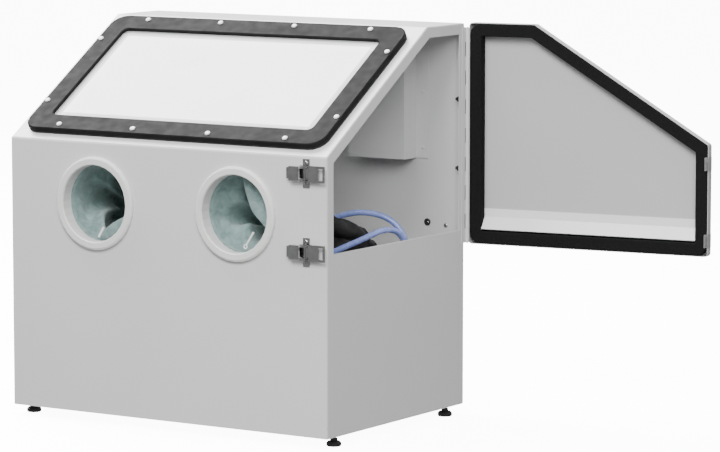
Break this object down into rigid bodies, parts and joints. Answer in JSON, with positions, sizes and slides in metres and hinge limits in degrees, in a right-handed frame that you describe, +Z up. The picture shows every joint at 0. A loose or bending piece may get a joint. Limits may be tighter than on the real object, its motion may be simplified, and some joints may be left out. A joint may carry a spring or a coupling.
{
  "type": "sandblast cabinet",
  "caption": "Bench-top sandblast cabinet with a sloped window, gloved arm ports, gasketed side door on a full-height hinge, draw latches and levelling feet.",
  "frame": {"origin": "centre of the casing's flat underside, 19 mm above the foot soles", "axes": "+X to the operator's right, +Y to the rear, +Z up; the arm ports face -Y"},
  "size_m": [1.1757, 0.557, 0.73],
  "materials": {
    "casing_paint": "light grey powder coat, satin",
    "door_paint": "light grey powder coat, satin",
    "window_rubber": "black sponge rubber",
    "window_pane": "clear pane, faintly hazed",
    "frame_plastic": "dark grey moulded rubber and plastic, satin top",
    "screw_plastic": "white screw caps",
    "port_plastic": "off-white moulded plastic",
    "glove_rubber": "black rubber outside, green-grey suede lining",
    "zinc_steel": "zinc plated steel",
    "grommet_rubber": "black",
    "brass": "machined",
    "lamp_plastic": "opal",
    "foam_rubber": "black closed-cell foam strip",
    "chrome": "bright stamped steel",
    "gun_aluminium": "cast, bead blasted",
    "nozzle_ceramic": "ceramic",
    "blue_hose": "translucent blue hose",
    "foot_rubber": "black"
  },
  "bodies": {
    "cabinet": {"air_bulkhead": "brass", "air_hose": "blue_hose", "cable_grommet": "grommet_rubber", "exhaust_baffle": "casing_paint", "exhaust_outlet": "zinc_steel", "floor_pan": "casing_paint", "front_panel": "casing_paint", "grate_frame": "casing_paint", "gun_body": "gun_aluminium", "gun_nozzle": "nozzle_ceramic", "hinge_leaf_cabinet": "casing_paint", "hinge_pin": "zinc_steel", "hopper": "casing_paint", "left_glove": "glove_rubber", "left_glove_clamp": "zinc_steel", "left_port_ring": "port_plastic", "left_side_panel": "casing_paint", "lower_latch_base": "chrome", "pickup_tube": "zinc_steel", "rear_panel": "casing_paint", "right_glove": "glove_rubber", "right_glove_clamp": "zinc_steel", "right_port_ring": "port_plastic", "right_side_panel": "casing_paint", "roof_panel": "casing_paint", "slope_panel": "casing_paint", "strip_lamp": "lamp_plastic", "suction_hose": "blue_hose", "upper_latch_base": "chrome", "window_frame": "frame_plastic", "window_gasket": "window_rubber", "window_pane": "window_pane", "window_screw_01": "screw_plastic", "window_screw_02": "screw_plastic", "window_screw_03": "screw_plastic", "window_screw_04": "screw_plastic", "window_screw_05": "screw_plastic", "window_screw_06": "screw_plastic", "window_screw_07": "screw_plastic", "window_screw_08": "screw_plastic", "window_screw_09": "screw_plastic", "window_screw_10": "screw_plastic", "window_screw_11": "screw_plastic", "window_screw_12": "screw_plastic", "work_grate": "zinc_steel"},
    "door": {"door_panel": "door_paint", "door_gasket": "foam_rubber", "door_deflector": "door_paint", "hinge_leaf_door": "casing_paint", "upper_strike": "zinc_steel", "lower_strike": "zinc_steel"},
    "gun_trigger": {"gun_trigger": "gun_aluminium"},
    "upper_lever": {"upper_latch_lever": "chrome"},
    "upper_loop": {"upper_latch_loop": "chrome"},
    "lower_lever": {"lower_latch_lever": "chrome"},
    "lower_loop": {"lower_latch_loop": "chrome"},
    "foot_front_left": {"foot_front_left": "foot_rubber"},
    "foot_front_right": {"foot_front_right": "foot_rubber"},
    "foot_rear_left": {"foot_rear_left": "foot_rubber"},
    "foot_rear_right": {"foot_rear_right": "foot_rubber"}
  },
  "joints": [
    {"name": "door_hinge", "type": "hinge", "parent": "cabinet", "child": "door", "pos_m": [0.3538, 0.235, 0.502], "axis": [0, 0, 1], "range_deg": [-97.5, 77.5]},
    {"name": "upper_lever_hinge", "type": "hinge", "parent": "cabinet", "child": "upper_lever", "pos_m": [0.308, -0.239, 0.4695], "axis": [0, 0, 1], "range_deg": [0, 110]},
    {"name": "upper_loop_hinge", "type": "hinge", "parent": "upper_lever", "child": "upper_loop", "pos_m": [0.302, -0.2387, 0.4695], "axis": [0, 0, 1], "range_deg": [-127, 0]},
    {"name": "lower_lever_hinge", "type": "hinge", "parent": "cabinet", "child": "lower_lever", "pos_m": [0.308, -0.239, 0.33], "axis": [0, 0, 1], "range_deg": [0, 110]},
    {"name": "lower_loop_hinge", "type": "hinge", "parent": "lower_lever", "child": "lower_loop", "pos_m": [0.302, -0.2387, 0.33], "axis": [0, 0, 1], "range_deg": [-127, 0]},
    {"name": "trigger_pull", "type": "hinge", "parent": "cabinet", "child": "gun_trigger", "pos_m": [-0.001, 0.0185, 0.2992], "axis": [0, 0, 1], "range_deg": [0, 6], "stiffness_Nm_per_rad": 0.4},
    {"name": "foot_front_left_screw", "type": "slide", "parent": "cabinet", "child": "foot_front_left", "axis": [0, 0, -1], "range_m": [0, 0.012]},
    {"name": "foot_front_right_screw", "type": "slide", "parent": "cabinet", "child": "foot_front_right", "axis": [0, 0, -1], "range_m": [0, 0.012]},
    {"name": "foot_rear_left_screw", "type": "slide", "parent": "cabinet", "child": "foot_rear_left", "axis": [0, 0, -1], "range_m": [0, 0.012]},
    {"name": "foot_rear_right_screw", "type": "slide", "parent": "cabinet", "child": "foot_rear_right", "axis": [0, 0, -1], "range_m": [0, 0.012]}
  ],
  "couplings": [
    {"joint": "upper_loop_hinge", "follows": "upper_lever_hinge", "ratio": -1.15},
    {"joint": "lower_loop_hinge", "follows": "lower_lever_hinge", "ratio": -1.15}
  ]
}
